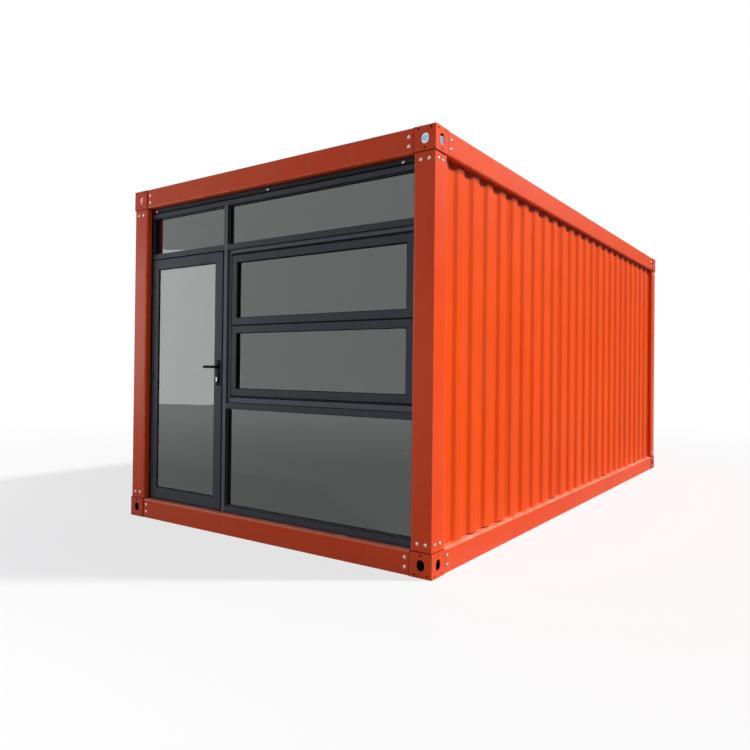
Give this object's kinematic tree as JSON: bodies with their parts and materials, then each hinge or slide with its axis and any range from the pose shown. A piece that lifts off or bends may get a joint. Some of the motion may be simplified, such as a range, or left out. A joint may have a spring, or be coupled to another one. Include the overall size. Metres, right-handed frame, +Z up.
{
  "type": "container room with a glazed end",
  "caption": "Steel-framed flat-pack room with ribbed side sheets and a glazed end holding a hinged door and framed lights.",
  "frame": {"origin": "middle of the base, on the level that the four floor corner fittings rest on", "axes": "+Z up; -Y towards the glazed front; +Y along the length; +X to the right as seen from the front"},
  "size_m": [3, 6, 2.8],
  "materials": {
    "frame_paint": "semi-gloss orange red paint on steel",
    "sheet_paint": "satin orange red coated sheet",
    "wall_panel": "pale coated lining panel",
    "floor_board": "plain grey-brown floor covering on board",
    "zinc_steel": "galvanised steel",
    "grey_aluminium": "dark grey powder coat",
    "window_glass": "lightly tinted clear glass",
    "cap_plastic": "pale blue plastic",
    "black_paint": "matt black",
    "bright_metal": "bright nickel"
  },
  "bodies": {
    "cabin": {"front_left_post": "frame_paint", "front_right_post": "frame_paint", "rear_left_post": "frame_paint", "rear_right_post": "frame_paint", "front_roof_beam": "frame_paint", "rear_roof_beam": "frame_paint", "left_roof_beam": "frame_paint", "right_roof_beam": "frame_paint", "front_floor_beam": "frame_paint", "rear_floor_beam": "frame_paint", "left_floor_beam": "frame_paint", "right_floor_beam": "frame_paint", "top_corner_fittings": "frame_paint", "bottom_corner_fittings": "frame_paint", "left_cladding": "sheet_paint", "right_cladding": "sheet_paint", "rear_cladding": "sheet_paint", "roof_sheet": "sheet_paint", "left_wall_panel": "wall_panel", "right_wall_panel": "wall_panel", "rear_wall_panel": "wall_panel", "ceiling_panel": "wall_panel", "floor_board": "floor_board", "roof_purlins": "zinc_steel", "floor_joists": "zinc_steel", "head_trim": "grey_aluminium", "frame_head": "grey_aluminium", "frame_sill": "grey_aluminium", "frame_jambs": "grey_aluminium", "mullion": "grey_aluminium", "transom_bars": "grey_aluminium", "sash_surround": "grey_aluminium", "upper_sash": "grey_aluminium", "lower_sash": "grey_aluminium", "jamb_hinges": "grey_aluminium", "top_light_glass": "window_glass", "fixed_light_glass": "window_glass", "sash_glass": "window_glass", "fitting_caps": "cap_plastic"},
    "door": {"door_leaf": "grey_aluminium", "door_glass": "window_glass", "leaf_hinges": "grey_aluminium", "lock_plates": "black_paint", "lock_cylinder": "bright_metal"},
    "lever": {"lever_handles": "black_paint"}
  },
  "joints": [
    {"name": "door_swing", "type": "hinge", "parent": "cabin", "child": "door", "pos_m": [-1.324, -2.948, 1.2], "axis": [0, 0, -1], "range_deg": [0, 90]},
    {"name": "lever_turn", "type": "hinge", "parent": "door", "child": "lever", "pos_m": [-0.48, -2.915, 1.29], "axis": [0, -1, 0], "range_deg": [0, 40], "stiffness_Nm_per_rad": 2, "springref_deg": -34.38}
  ]
}
